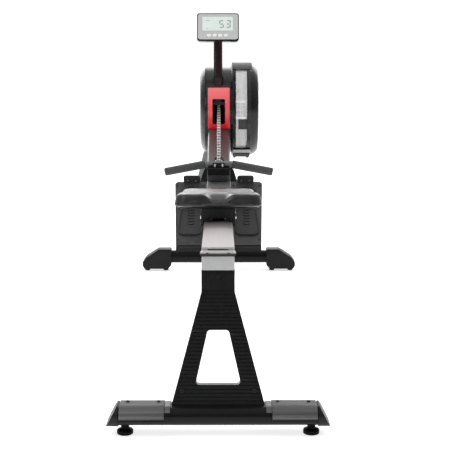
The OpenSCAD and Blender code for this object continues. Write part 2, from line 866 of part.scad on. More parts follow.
// Sliding heel cup on the footplate
module heel_cup() {
    on_plate() {
        difference() {
            translate([0, 0, 0.1]) linear_extrude(heel_lift) hull() {
                translate([foot_mid - 34, 190]) square([66, 10]);
                translate([foot_mid - 20, 60]) circle(23);
                translate([foot_mid + 26, 60]) circle(23);
            }
            translate([0, 0, 4]) linear_extrude(heel_lift) hull() {
                translate([foot_mid - 31, 170]) square([60, 40]);
                translate([foot_mid - 20, 62]) circle(20);
                translate([foot_mid + 26, 62]) circle(20);
            }
            for (t = [85 : 13.6 : 154]) translate([foot_mid, t + slot_arc, -1]) intersection() {
                difference() {
                    cylinder(h = 8, r = slot_arc + 2);
                    translate([0, 0, -1]) cylinder(h = 10, r = slot_arc - 2);
                }
                translate([-12.5, -slot_arc - 3, 0]) cube([25, slot_arc, 8]);
            }
        }
    }
}
module heel_cup_left() { color([0.28, 0.28, 0.29]) mirror([1, 0, 0]) heel_cup(); }
module heel_cup_right() { color([0.28, 0.28, 0.29]) heel_cup(); }

// ---- seat ----

module on_seat() {
    on_rail() translate([0, seat_s, 0]) children();
}

module seat_outline(inset) {
    w = seat_w / 2 - inset;
    d = seat_d / 2 - inset;
    hull() for (p = [[-w + 30, -d + 30], [w - 30, -d + 30], [-w + 46, d - 40], [w - 46, d - 40]])
        translate(p) circle(30);
}

module seat_cushion() {
    color([0.2, 0.19, 0.19]) on_seat() translate([0, 0, 45]) difference() {
        linear_extrude(seat_pad_h) seat_outline(0);
        translate([0, -seat_d / 2 - 6, seat_pad_h + 14]) sphere(30);
    }
}

module seat_pan() {
    color("black") on_seat() translate([0, 0, 38]) linear_extrude(7) seat_outline(12);
}

module carriage() {
    color([0.1, 0.1, 0.1]) on_seat() difference() {
        union() {
            translate([-50, -98, 11]) cube([100, 196, 27]);
            for (side = [-1, 1]) translate([side * 46.2 - 3.8, -98, -14]) cube([7.6, 196, 40]);
        }
        translate([-38, -88, 8]) cube([76, 176, 22]);
        for (y = [-64, 64]) translate([0, y, roller_z]) disc_x(-60, 60, 4);
    }
}

module roller_axles() {
    color("silver") on_seat() for (y = [-64, 64]) translate([0, y, roller_z]) {
        disc_x(-50, 50, 4);
        for (x = [-53, 50]) disc_x(x, x + 3, 7);
    }
}

module guide_pads() {
    color([0.3, 0.3, 0.3]) on_seat() {
        for (side = [-1, 1], y = [-64, 64])
            translate([side * 37.6 - 4.8, y - 20, -13.5]) cube([9.6, 40, 7]);
        for (side = [-1, 1]) translate([side * 32 - 9, -98, 0.8]) cube([18, 6, 10.2]);
    }
}

module rollers() {
    for (x = [-27, 27]) difference() {
        union() {
            disc_x(x - 9, x + 9, 12);
            disc_x(x - 10.5, x + 10.5, 7);
        }
        disc_x(x - 20, x + 20, 4.05);
    }
}
module rollers_rear() { color("white") on_seat() translate([0, -64, roller_z]) rollers(); }
module rollers_front() { color("white") on_seat() translate([0, 64, roller_z]) rollers(); }

// ---- handle ----

module handle_bar() {
    color([0.3, 0.31, 0.31]) translate([0, handle_y, handle_z]) {
        disc_x(-bar_half, bar_half, bar_r);
        for (side = [-1, 1]) translate([side * bar_half, 0, 0]) rotate([0, side * droop, 0]) {
            sphere(bar_r);
            if (side > 0) disc_x(0, 160, bar_r);
            else disc_x(-160, 0, bar_r);
        }
    }
}

// Clamp block on the bar, with the U-bolt that the chain ends on
module handle_yoke() {
    color([0.15, 0.15, 0.15]) difference() {
        union() {
            translate([-24, handle_y - 15.5, handle_z - 9]) cube([48, 31, 16]);
            translate([-5, handle_y + 12, handle_z + 2]) cube([10, 9.5, 11]);
        }
        translate([0, handle_y, handle_z]) disc_x(-60, 60, bar_r);
    }
    color("silver") {
        difference() {
            translate([0, handle_y + 6.5, handle_z + 7]) rotate([30, 0, 0])
                rotate_extrude() translate([u_bolt_x, 0]) circle(2.6);
            translate([-30, handle_y - 60, handle_z - 30]) cube([60, 66.5, 80]);
            translate([0, handle_y, handle_z]) disc_x(-60, 60, bar_r + 0.5);
        }
        for (x = [-u_bolt_x, u_bolt_x], z = [-6, -1])
            translate([x, handle_y - 15.5, handle_z + z]) disc_y(-3, 0, 3.4);
    }
}

module grip(side) {
    len = (handle_w / 2 - bar_half) / cos(droop) - 3;
    color([0.2, 0.2, 0.2]) translate([side * bar_half, handle_y, handle_z]) rotate([0, side * droop, 0])
        mirror([side < 0 ? 1 : 0, 0, 0]) difference() {
            union() {
                disc_x(4, len - 4, grip_d / 2);
                translate([len - 4, 0, 0]) rotate([0, 90, 0])
                    cylinder(h = 4, r1 = grip_d / 2, r2 = grip_d / 2 - 4);
            }
            disc_x(0, 160, bar_r);
        }
}
module grips() {
    grip(-1);
    grip(1);
}

// ---- console ----

module console_case() {
    color("black") {
        on_console() difference() {
            translate([0, 0, -case_t]) linear_extrude(case_t - 2) round_rect(console_w, console_h, 12);
            translate([0, 2, -case_t + 3]) linear_extrude(case_t)
                round_rect(console_w - 10, console_h - 14, 9);
        }
        // Knuckle on the hinge pin
        difference() {
            hull() {
                translate([console_x, pin_y, pin_z]) disc_x(-12.5, 12.5, 7);
                on_console() translate([-12.5, -38, -case_t - 1]) cube([25, 22, 2]);
            }
            translate([0, pin_y, pin_z]) disc_x(-20, 20, 3.06);
        }
    }
}

module console_face() {
    color([0.72, 0.72, 0.72]) on_console() difference() {
        translate([0, 2, -2]) linear_extrude(2) round_rect(console_w - 8, console_h - 12, 10);
        translate([lcd_x, lcd_y, -5]) linear_extrude(10) square([134, 62], center = true);
        for (x = button_x) translate([x, -36, -5]) linear_extrude(10) flat_oval(19, 13);
    }
}

module console_screen() {
    color([0.82, 0.87, 0.84]) on_console() {
        translate([lcd_x, lcd_y, -4]) linear_extrude(3.4) square([133.6, 61.6], center = true);
        translate([0, 0, -12]) linear_extrude(1.6) square([console_w - 24, console_h - 24], center = true);
        for (x = [-70, 70], y = [-20, 45]) translate([x, y, -case_t + 3]) cylinder(h = case_t - 15, r = 3);
        translate([lcd_x, lcd_y, -10.5]) linear_extrude(7) square([120, 50], center = true);
    }
}

module button(i) {
    color("white") on_console() translate([button_x[i], -36, 0]) {
        translate([0, 0, -5]) linear_extrude(6.8) flat_oval(18.2, 12.2);
        translate([0, 0, -7]) cylinder(h = 3, r = 4);
    }
}
module button_1() { button(0); }
module button_2() { button(1); }
module button_3() { button(2); }
module button_4() { button(3); }

rail();
rail_end_plate();
rail_end_stop();
rail_front_stop();
rear_leg();
frame_bolts();
rear_beam();
rear_pads();
rear_caps();
rear_foot_left();
rear_foot_right();
front_beam();
front_legs();
leg_brace();
front_stabilizer();
front_caps();
wheel_left();
wheel_right();
neck_cover();
handle_rest();
mast();
housing_shell();
housing_side_cover();
chain_port();
console_post();
fan_inner_ring();
fan_guard();
fan_side_cover();
guard_clamp();
guard_tray();
fan_rotor();
damper();
axle();
bearings();
sprocket();
return_spool();
chain();
foot_base_left();
foot_base_right();
toe_tabs();
foot_straps();
heel_cup_left();
heel_cup_right();
seat_cushion();
seat_pan();
carriage();
roller_axles();
guide_pads();
rollers_rear();
rollers_front();
handle_bar();
handle_yoke();
grips();
console_case();
console_face();
console_screen();
button_1();
button_2();
button_3();
button_4();
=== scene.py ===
import json
from math import asin, atan2, cos, exp, pi, radians, sin, sqrt, tau

import bmesh
import bpy
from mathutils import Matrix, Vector


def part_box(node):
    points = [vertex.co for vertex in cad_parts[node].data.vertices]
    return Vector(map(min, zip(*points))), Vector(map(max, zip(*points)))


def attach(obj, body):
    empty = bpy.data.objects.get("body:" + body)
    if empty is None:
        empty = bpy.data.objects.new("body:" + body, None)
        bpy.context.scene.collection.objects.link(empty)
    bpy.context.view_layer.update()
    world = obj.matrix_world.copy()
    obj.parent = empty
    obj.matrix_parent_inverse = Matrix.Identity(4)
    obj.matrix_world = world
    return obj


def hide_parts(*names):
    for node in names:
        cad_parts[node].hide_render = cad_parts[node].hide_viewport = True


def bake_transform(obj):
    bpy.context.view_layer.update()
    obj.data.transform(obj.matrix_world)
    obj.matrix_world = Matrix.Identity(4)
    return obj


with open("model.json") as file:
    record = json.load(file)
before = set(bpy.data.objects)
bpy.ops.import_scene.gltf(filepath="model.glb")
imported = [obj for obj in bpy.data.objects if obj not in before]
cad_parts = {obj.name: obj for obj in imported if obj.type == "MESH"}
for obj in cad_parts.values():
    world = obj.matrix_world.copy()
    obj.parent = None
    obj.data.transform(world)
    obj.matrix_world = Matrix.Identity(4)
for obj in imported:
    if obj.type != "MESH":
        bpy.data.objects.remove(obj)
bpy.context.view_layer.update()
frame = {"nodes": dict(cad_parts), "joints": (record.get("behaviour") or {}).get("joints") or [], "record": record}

NODES = frame["nodes"]
RECORD = frame["record"]
BODY = {n: b for b, ns in RECORD["behaviour"]["bodies"].items() for n in ns}
JOINT = {j["name"]: j for j in frame["joints"]}
MM = 0.001
X_AXIS = Vector((1, 0, 0))
Y_AXIS = Vector((0, 1, 0))
Z_AXIS = Vector((0, 0, 1))


# ---------------------------------------------------------------- places

class Place:
    """A local frame: origin o, axes a, b and c, in metres."""

    def __init__(self, o, a, b, c):
        self.o, self.a, self.b, self.c = o, a, b, c

    def at(self, x, y, z):
        return self.o + self.a * x + self.b * y + self.c * z

    def box(self, node):
        """Lowest and highest local corner of a CAD node."""
        axes = (self.a, self.b, self.c)
        rows = [[(v.co - self.o).dot(k) for k in axes] for v in NODES[node].data.vertices]
        low = Vector([min(r[i] for r in rows) for i in range(3)])
        return low, Vector([max(r[i] for r in rows) for i in range(3)])


def along(direction):
    """Place axes: X stays, b is the given direction, c stands off it."""
    b = Vector(direction).normalized()
    return X_AXIS, b, X_AXIS.cross(b)


def islands(node):
    """Lists of vertices of each separate solid in a CAD node."""
    bm = bmesh.new()
    bm.from_mesh(NODES[node].data)
    bmesh.ops.remove_doubles(bm, verts=bm.verts, dist=1e-6)
    left, found = set(bm.verts), []
    while left:
        stack, group = [left.pop()], []
        while stack:
            v = stack.pop()
            group.append(v.co.copy())
            for e in v.link_edges:
                w = e.other_vert(v)
                if w in left:
                    left.discard(w)
                    stack.append(w)
        found.append(group)
    bm.free()
    return found


# Rail frame: origin at the rail's top, at its rear end
a, b, c = along(JOINT["seat_slide"]["axis"])
rail_lo, rail_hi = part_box("rail")
RAIL = Place(Vector((0, rail_lo.y, rail_hi.z)), a, b, c)
rail_low, rail_high = RAIL.box("rail")
RAIL.o = RAIL.at(0, rail_low.y, rail_high.z)

# Footplate frame: origin on the plate's face
a, b, c = along(JOINT["heel_cup_right_slide"]["axis"])
PLATE = Place(Vector((0, 0, 0)), a, b, c)
PLATE.o = PLATE.at(0, 0, PLATE.box("foot_base_right")[1].z)

# Console frame: origin at the middle of the face, c out of the face
push = Vector(JOINT["button_1_press"]["axis"])
CONSOLE = Place(Vector((0, 0, 0)), X_AXIS, (-push).cross(X_AXIS), -push)
face_low, face_high = CONSOLE.box("console_face")
CONSOLE.o = CONSOLE.at((face_low.x + face_high.x) / 2, (face_low.y + face_high.y) / 2, face_high.z)

AXLE = Vector(JOINT["fan_spin"]["pos_m"])


# ---------------------------------------------------------------- materials

def links(mat):
    """A material's nodes and links."""
    return mat.node_tree.nodes, mat.node_tree.links


def noise(mat, scale, stretch=(1, 1, 1), detail=3.0, rough=0.5):
    """Noise in object coordinates; returns its value socket."""
    n, l = links(mat)
    coord = n.new("ShaderNodeTexCoord")
    mapping = n.new("ShaderNodeMapping")
    mapping.inputs["Scale"].default_value = stretch
    tex = n.new("ShaderNodeTexNoise")
    tex.inputs["Scale"].default_value = scale
    tex.inputs["Detail"].default_value = detail
    tex.inputs["Roughness"].default_value = rough
    l.new(coord.outputs["Object"], mapping.inputs["Vector"])
    l.new(mapping.outputs["Vector"], tex.inputs["Vector"])
    return tex.outputs["Fac"]


def spread(mat, fac, low, high, src=(0.3, 0.7)):
    """The value of a socket, moved from the range src to the range low to high."""
    n, l = links(mat)
    node = n.new("ShaderNodeMapRange")
    for key, value in zip(("From Min", "From Max", "To Min", "To Max"), (*src, low, high)):
        node.inputs[key].default_value = value
    l.new(fac, node.inputs["Value"])
    return node.outputs["Result"]


def tint(mat, fac, dark, light):
    """A colour between dark and light by the value of a socket."""
    n, l = links(mat)
    ramp = n.new("ShaderNodeValToRGB")
    ramp.color_ramp.elements[0].position, ramp.color_ramp.elements[1].position = 0.3, 0.7
    ramp.color_ramp.elements[0].color = (*dark, 1)
    ramp.color_ramp.elements[1].color = (*light, 1)
    l.new(fac, ramp.inputs["Fac"])
    return ramp.outputs["Color"]


def raise_bump(mat, height, strength, distance):
    """Relief from a height socket; distance is its depth in metres."""
    n, l = links(mat)
    node = n.new("ShaderNodeBump")
    node.inputs["Strength"].default_value = strength
    node.inputs["Distance"].default_value = distance
    l.new(height, node.inputs["Height"])
    l.new(node.outputs["Normal"], n["Principled BSDF"].inputs["Normal"])


def finish(name, colour, rough, metal=0.0, vary=0.1, grain=40.0, stretch=(1, 1, 1),
           rough_vary=0.05, fine=900.0, bump=0.05, depth=0.2, coat=0.0, coat_rough=0.08, specular=0.5):
    """A surface whose colour, gloss and relief vary by noise. Stretch draws the grain out along an axis.
    Grain and fine are noise scales for colour and relief; depth is in millimetres."""
    mat = bpy.data.materials.new(name)
    mat.use_nodes = True
    n, l = links(mat)
    bsdf = n["Principled BSDF"]
    bsdf.inputs["Metallic"].default_value = metal
    bsdf.inputs["Coat Weight"].default_value = coat
    bsdf.inputs["Coat Roughness"].default_value = coat_rough
    bsdf.inputs["Specular IOR Level"].default_value = specular
    dark = [k * (1 - vary) for k in colour]
    light = [min(1.0, k * (1 + vary)) for k in colour]
    l.new(tint(mat, noise(mat, grain, stretch), dark, light), bsdf.inputs["Base Color"])
    l.new(spread(mat, noise(mat, grain * 2.3, stretch), max(0.02, rough - rough_vary), rough + rough_vary),
          bsdf.inputs["Roughness"])
    if bump:
        raise_bump(mat, noise(mat, fine, stretch), bump, depth * MM)
    return mat


# Grain drawn out along Y or along X
BRUSH_Y = (1, 0.02, 1)
BRUSH_X = (0.02, 1, 1)

M = {
    "mesh": finish("mesh aluminium", (0.95, 0.95, 0.95), 0.5, metal=0.3, vary=0.05, grain=300,
                   rough_vary=0.04, depth=0.1),
    "rail": finish("anodised rail", (0.50, 0.465, 0.465), 0.50, metal=1.0, vary=0.025, grain=120,
                   stretch=BRUSH_Y, rough_vary=0.02, fine=500, bump=0.02, depth=0.05),
    "plate": finish("grey end plate", (0.38, 0.38, 0.385), 0.42, metal=0.7, vary=0.05, grain=200,
                    fine=1200, bump=0.1, depth=0.1),
    "rubber": finish("black rubber", (0.004, 0.004, 0.004), 0.62, vary=0.2, grain=60, rough_vary=0.08,
                     fine=1500, bump=0.25, specular=0.2),
    "casting": finish("black cast paint", (0.008, 0.008, 0.0085), 0.34, vary=0.15, grain=70, fine=1600,
                      bump=0.12, coat=0.08, coat_rough=0.2, specular=0.18),
    "steel": finish("bright steel", (0.70, 0.70, 0.72), 0.26, metal=1.0, vary=0.06, grain=150, fine=1400,
                    depth=0.1),
    "chain_steel": finish("chain steel", (0.85, 0.83, 0.83), 0.4, metal=0.6, grain=150, rough_vary=0.06,
                          fine=1400, depth=0.1),
    "bolt_dark": finish("dark bolt", (0.012, 0.012, 0.012), 0.32, metal=0.3, grain=150, fine=1400,
                        depth=0.1),
    "gloss_black": finish("gloss black paint", (0.005, 0.005, 0.0055), 0.32, grain=30, rough_vary=0.03,
                          fine=500, bump=0.02, depth=0.1, coat=0.06, coat_rough=0.2, specular=0.12),
    "ribbed": finish("ribbed aluminium", (0.13, 0.13, 0.132), 0.4, metal=0.9, vary=0.08, grain=250,
                     stretch=BRUSH_X, rough_vary=0.06, bump=0.06, depth=0.1),
    "moulding": finish("black moulding", (0.007, 0.007, 0.0075), 0.42, vary=0.15, grain=60,
                       rough_vary=0.06, fine=1800, bump=0.2, depth=0.15, specular=0.2),
    "beam": finish("grey beam", (0.13, 0.135, 0.135), 0.4, metal=0.7, vary=0.04, grain=120,
                   stretch=BRUSH_Y, rough_vary=0.03, bump=0.03, depth=0.1),
    "neck": finish("brushed neck", (0.20, 0.187, 0.188), 0.36, metal=0.85, vary=0.04, grain=120,
                   stretch=BRUSH_Y, rough_vary=0.03, bump=0.03, depth=0.1),
    "housing": finish("housing plastic", (0.016, 0.016, 0.0165), 0.3, fine=1500, bump=0.08, depth=0.15,
                      coat=0.15, coat_rough=0.15, specular=0.35),
    "housing_dark": finish("dark housing plastic", (0.006, 0.006, 0.0065), 0.28, fine=1500, bump=0.08,
                           depth=0.15, coat=0.15, coat_rough=0.15, specular=0.25),
    "rotor": finish("rotor metal", (0.24, 0.24, 0.25), 0.36, metal=1.0, vary=0.08, grain=120,
                    rough_vary=0.06, depth=0.1),
    "footplate": finish("footplate plastic", (0.042, 0.042, 0.043), 0.48, vary=0.12, grain=60,
                        rough_vary=0.06, fine=1700, bump=0.3, specular=0.3),
    "heel_cup": finish("heel cup plastic", (0.024, 0.024, 0.025), 0.44, vary=0.12, grain=60,
                       rough_vary=0.06, fine=1700, bump=0.3, specular=0.35),
    # Black for the feet and the tray; on the axle and bearings it is painted shade, which keeps the chain's
    # opening dark.
    "inside": finish("black and painted shade", (0.004, 0.004, 0.004), 0.6, vary=0.2, grain=60,
                     rough_vary=0.06, bump=0.1, depth=0.1, specular=0.1),
    "roller": finish("roller plastic", (0.6, 0.6, 0.6), 0.35, vary=0.06, grain=80, fine=1200, depth=0.1),
    "handle_dark": finish("dark handle metal", (0.010, 0.010, 0.0105), 0.34, metal=0.3, grain=90,
                          fine=1200, depth=0.1, specular=0.3),
    "handle_grey": finish("grey handle tube", (0.20, 0.22, 0.21), 0.34, metal=0.8, vary=0.06, grain=160,
                          stretch=BRUSH_X, fine=1200, depth=0.1),
    "grip": finish("grip foam", (0.055, 0.055, 0.056), 0.6, vary=0.15, grain=120, rough_vary=0.06,
                   fine=1400, bump=0.5, depth=0.3, specular=0.3),
    "console_silver": finish("console silver", (0.48, 0.48, 0.485), 0.36, vary=0.04, grain=120,
                             rough_vary=0.04, fine=1800, bump=0.08, depth=0.1, specular=0.3),
    "console_black": finish("console black", (0.006, 0.006, 0.0065), 0.25, grain=50, rough_vary=0.04,
                            fine=1500, bump=0.06, depth=0.1, coat=0.2, coat_rough=0.1, specular=0.3),
    "button": finish("white key", (0.8, 0.8, 0.8), 0.38, vary=0.03, grain=90, rough_vary=0.04, fine=1200,
                     depth=0.1),
    "lcd": finish("display glass", (0.70, 0.77, 0.73), 0.3, vary=0.03, grain=25, rough_vary=0.02,
                  fine=800, bump=0.0, depth=0.1, coat=0.4, coat_rough=0.05),
    "digit": finish("display digit", (0.24, 0.27, 0.255), 0.5, grain=50),
    "light_bar": finish("light grey plastic", (0.28, 0.28, 0.28), 0.4, vary=0.05, grain=60, fine=1500,
                        bump=0.1, depth=0.1),
}


def height_ramp(mat, low, high, bottom, top):
    """Base colour that changes from bottom to top between two heights."""
    n, l = links(mat)
    coord = n.new("ShaderNodeTexCoord")
    split = n.new("ShaderNodeSeparateXYZ")
    l.new(coord.outputs["Object"], split.inputs["Vector"])
    ramp = n.new("ShaderNodeValToRGB")
    ramp.color_ramp.elements[0].color = (*bottom, 1)
    ramp.color_ramp.elements[1].color = (*top, 1)
    l.new(spread(mat, split.outputs["Z"], 0, 1, (low, high)), ramp.inputs["Fac"])
    l.new(ramp.outputs["Color"], n["Principled BSDF"].inputs["Base Color"])
    return mat


# The opening's red surround pales towards its top: a painted reflection of the bright light above
port_lo, port_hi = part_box("chain_port")
M["red"] = height_ramp(
    finish("red gloss", (0.6, 0.01, 0.016), 0.24, vary=0.05, grain=25, rough_vary=0.03, fine=600,
           bump=0.02, depth=0.1, coat=0.4),
    port_lo.z, port_hi.z, (0.72, 0.010, 0.016), (0.85, 0.17, 0.18))

# The rail end's lip is light grey above; the black in its lower part is painted shade
stop_lo, stop_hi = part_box("rail_end_stop")
M["lip"] = height_ramp(
    finish("end lip", (0.3, 0.3, 0.3), 0.42, metal=0.3, vary=0.05, grain=200, fine=1200, bump=0.1,
           depth=0.1),
    stop_lo.z + 0.45 * (stop_hi.z - stop_lo.z), stop_lo.z + 0.8 * (stop_hi.z - stop_lo.z),
    (0.008, 0.008, 0.008), (0.42, 0.41, 0.41))


def vinyl(name, colour, rough):
    """Moulded seat skin: fine pebbled grain with a satin sheen."""
    mat = finish(name, colour, rough, vary=0.12, grain=25, rough_vary=0.04, fine=10, bump=0.0, depth=0.1,
                 coat=0.3, coat_rough=0.25)
    n, l = links(mat)
    coord = n.new("ShaderNodeTexCoord")
    cells = n.new("ShaderNodeTexVoronoi")
    cells.inputs["Scale"].default_value = 700
    l.new(coord.outputs["Object"], cells.inputs["Vector"])
    raise_bump(mat, cells.outputs["Distance"], 0.25, 0.25 * MM)
    return mat


def woven(name, colour, pitch):
    """Webbing: fine diagonal ribs crossed by weft lines."""
    mat = finish(name, colour, 0.75, vary=0.2, grain=200, fine=10, bump=0.0)
    n, l = links(mat)
    heights = []
    for direction in ("X", "DIAGONAL"):
        coord = n.new("ShaderNodeTexCoord")
        wave = n.new("ShaderNodeTexWave")
        wave.bands_direction = direction
        wave.inputs["Scale"].default_value = 1 / pitch / 3.2
        l.new(coord.outputs["Object"], wave.inputs["Vector"])
        heights.append(wave.outputs["Fac"])
    mix = n.new("ShaderNodeMath")
    mix.operation = "MULTIPLY"
    l.new(heights[0], mix.inputs[0])
    l.new(heights[1], mix.inputs[1])
    raise_bump(mat, mix.outputs[0], 0.8, 0.4 * MM)
    return mat


def post_with_painted_red_reflection():
    """Gloss black with a painted red reflection: a dark red band down its middle."""
    mat = finish("console post", (0.006, 0.006, 0.0065), 0.22, grain=30, rough_vary=0.03, fine=500,
                 bump=0.02, depth=0.1, coat=0.15, coat_rough=0.1, specular=0.15)
    n, l = links(mat)
    bsdf = n["Principled BSDF"]
    post_lo, post_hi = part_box("console_post")
    middle = (post_lo.x + post_hi.x) / 2
    coord = n.new("ShaderNodeTexCoord")
    split = n.new("ShaderNodeSeparateXYZ")
    l.new(coord.outputs["Object"], split.inputs["Vector"])
    shift = n.new("ShaderNodeMath")
    shift.operation = "SUBTRACT"
    shift.inputs[1].default_value = middle
    l.new(split.outputs["X"], shift.inputs[0])
    away = n.new("ShaderNodeMath")
    away.operation = "ABSOLUTE"
    l.new(shift.outputs[0], away.inputs[0])
    # The dark red band is a painted reflection of the red surround.
    band = spread(mat, away.outputs[0], 1, 0, (3 * MM, 12 * MM))
    ramp = n.new("ShaderNodeValToRGB")
    ramp.color_ramp.elements[0].color = (0.006, 0.006, 0.0065, 1)
    ramp.color_ramp.elements[1].color = (0.018, 0.0016, 0.002, 1)
    l.new(band, ramp.inputs["Fac"])
    l.new(ramp.outputs["Color"], bsdf.inputs["Base Color"])
    return mat


M["vinyl"] = vinyl("seat vinyl", (0.011, 0.0098, 0.010), 0.36)
M["webbing"] = woven("webbing", (0.012, 0.012, 0.0125), 1.6 * MM)
M["post"] = post_with_painted_red_reflection()


# ---------------------------------------------------------------- piece making

def piece(name, mesh, node, mat, angle=35, stands_for=(), rides=True):
    """A new object on the body of a CAD node, unless rides is false."""
    mesh.validate()
    mesh.shade_smooth()
    mesh.set_sharp_from_angle(angle=radians(angle))
    obj = bpy.data.objects.new(name, mesh)
    bpy.context.scene.collection.objects.link(obj)
    mesh.materials.append(M[mat])
    if rides:
        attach(obj, BODY[node])
    if stands_for:
        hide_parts(*stands_for)
    return obj


def from_faces(name, verts, faces, *args, **kw):
    mesh = bpy.data.meshes.new(name)
    mesh.from_pydata([tuple(v) for v in verts], [], faces)
    return piece(name, mesh, *args, **kw)


def from_bm(name, bm, *args, **kw):
    bmesh.ops.recalc_face_normals(bm, faces=bm.faces)
    mesh = bpy.data.meshes.new(name)
    bm.to_mesh(mesh)
    bm.free()
    return piece(name, mesh, *args, **kw)


def cad_bm(node):
    """The CAD node's mesh with its flat faces joined up."""
    bm = bmesh.new()
    bm.from_mesh(NODES[node].data)
    bmesh.ops.remove_doubles(bm, verts=bm.verts, dist=1e-6)
    bmesh.ops.dissolve_limit(bm, angle_limit=radians(0.6), verts=bm.verts, edges=bm.edges)
    return bm


def bevel(obj, width, segments=2, angle=32):
    """Rounds the edges sharper than an angle; the width is in millimetres."""
    mod = obj.modifiers.new("Bevel", "BEVEL")
    mod.width = width * MM
    mod.segments = segments
    mod.limit_method = "ANGLE"
    mod.angle_limit = radians(angle)
    mod.use_clamp_overlap = True
    mod.harden_normals = True
    return obj


def refined(node, mat, width=0.8, segments=2, angle=32):
    """A CAD node's own shape with softened edges."""
    obj = from_bm(node + "_fine", cad_bm(node), node, mat, stands_for=(node,))
    return bevel(obj, width, segments, angle)


def paint(obj, mat, chosen):
    """A second material on the faces whose centre is chosen."""
    obj.data.materials.append(M[mat])
    for face in obj.data.polygons:
        if chosen(face.center):
            face.material_index = len(obj.data.materials) - 1
    return obj


def ring_faces(count, rings):
    """Quads between successive closed rings of vertices."""
    faces = []
    for r in range(rings - 1):
        for i in range(count):
            j = (i + 1) % count
            faces.append((r * count + i, r * count + j, (r + 1) * count + j, (r + 1) * count + i))
    return faces


def lathe_verts(profile, steps, place):
    """Profile points (radius, height) turned about a Place's c axis."""
    verts = []
    for r, h in profile:
        for i in range(steps):
            t = tau * i / steps
            verts.append(place.at(r * cos(t), r * sin(t), h))
    return verts


def lathe(name, profile, place, node, mat, steps=64, close=True, **kw):
    """A turned piece on a CAD node's body."""
    faces = ring_faces(steps, len(profile))
    if close:
        faces += ring_faces_cap(steps, len(profile))
    return from_faces(name, lathe_verts(profile, steps, place), faces, node, mat, **kw)


def ring_faces_cap(steps, rings):
    """The faces that close the first and the last ring."""
    return [tuple(reversed(range(steps))), tuple(range((rings - 1) * steps, rings * steps))]


def x_place(centre):
    """A Place whose axis c is +X."""
    return Place(Vector(centre), Y_AXIS, Z_AXIS, X_AXIS)


def axis_place(centre, axis):
    """A Place whose axis c is the given axis."""
    c = Vector(axis).normalized()
    side = Z_AXIS if abs(c.z) < 0.9 else X_AXIS
    a = side.cross(c).normalized()
    return Place(Vector(centre), a, c.cross(a), c)


def socket_head(bm, place, r, h, index):
    """A round bolt head with a hexagon socket, added to a bmesh with a material index."""
    steps = 24
    turns = [tau * i / steps for i in range(steps)]
    rows = [(r, 0.0), (r, h * 0.75), (r * 0.9, h), (r * 0.52, h)]
    rings = [[bm.verts.new(place.at(q * cos(t), q * sin(t), z)) for t in turns] for q, z in rows]
    socket, floor = r * 0.45, h * 0.35
    hexagon = []
    for t in turns:
        sector = (t % (tau / 6)) - tau / 12
        q = socket * cos(tau / 12) / cos(sector)
        hexagon.append((q * cos(t), q * sin(t)))
    for z in (h, floor):
        rings.append([bm.verts.new(place.at(x, y, z)) for x, y in hexagon])
    for one, two in zip(rings, rings[1:]):
        for i in range(steps):
            j = (i + 1) % steps
            bm.faces.new((one[i], one[j], two[j], two[i])).material_index = index
    bm.faces.new(rings[-1]).material_index = index
    bm.faces.new(list(reversed(rings[0]))).material_index = index


def rounded(w, h, r, steps=6):
    """Points of a centred rectangle with round corners."""
    pts = []
    for cx, cy, start in ((1, 1, 0), (-1, 1, 1), (-1, -1, 2), (1, -1, 3)):
        for i in range(steps + 1):
            t = (start + i / steps) * pi / 2
            pts.append((cx * (w / 2 - r) + r * cos(t), cy * (h / 2 - r) + r * sin(t)))
    return pts


def slab(name, outline, z0, z1, place, node, mat, edge):
    """A centred outline in a Place's a and b, from z0 to z1 along c, with a softened far edge."""
    rows = [(0.0, z0), (0.0, z1 - edge), (edge, z1)]
    n = len(outline)
    verts = []
    for inset, z in rows:
        for x, y in outline:
            f = 1 - inset / sqrt(x * x + y * y)
            verts.append(place.at(x * f, y * f, z))
    return from_faces(name, verts, ring_faces(n, len(rows)) + ring_faces_cap(n, len(rows)), node, mat)


# ---------------------------------------------------------------- rail and stands

def make_rail():
    refined("rail", "rail", 1.0, 2)
    refined("rail_end_plate", "plate", 1.0)
    screw_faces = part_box("rail_end_stop")[0].y + 1.9 * MM
    paint(refined("rail_end_stop", "lip", 1.2, 2), "bolt_dark", lambda c: c.y < screw_faces)
    refined("rail_front_stop", "rubber", 2.0, 3)
    refined("front_beam", "beam", 1.2)


def make_bolts():
    """Every bolt head gets a hexagon socket. Only the toe tabs' screws are bright."""
    leg_lean = radians(12.9)
    axes = {"leg": Vector((0, -cos(leg_lean), sin(leg_lean))), "up": Z_AXIS, "plate": PLATE.c,
            "toe": -PLATE.b}
    bm = bmesh.new()
    for group in islands("frame_bolts"):
        centre = sum(group, Vector()) / len(group)
        heights = {}
        for key, axis in axes.items():
            values = [(p - centre).dot(axis) for p in group]
            heights[key] = max(values) - min(values)
        key = min(heights, key=heights.get)
        axis = axes[key]
        radius = max((p - centre - axis * (p - centre).dot(axis)).length for p in group)
        place = axis_place(centre - axis * heights[key] / 2, axis)
        socket_head(bm, place, radius, heights[key], 1 if key == "toe" else 0)
    obj = from_bm("frame_bolts_fine", bm, "frame_bolts", "bolt_dark", stands_for=("frame_bolts",))
    obj.data.materials.append(M["steel"])


def make_rear_caps():
    """The floor beam's end caps, with their outer side sloped all the way down."""
    lo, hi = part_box("rear_caps")
    slope, lip = radians(62), 2 * MM
    bm = cad_bm("rear_caps")
    for side in (-1, 1):
        cut = bmesh.ops.bisect_plane(
            bm, geom=list(bm.verts) + list(bm.edges) + list(bm.faces), clear_outer=True,
            plane_co=Vector((side * hi.x, 0, lo.z + lip)),
            plane_no=Vector((side * sin(slope), 0, cos(slope))))
        rim = [e for e in cut["geom_cut"] if isinstance(e, bmesh.types.BMEdge)]
        bmesh.ops.holes_fill(bm, edges=rim)
    bevel(from_bm("rear_caps_fine", bm, "rear_caps", "moulding", stands_for=("rear_caps",)), 2.0, 3)


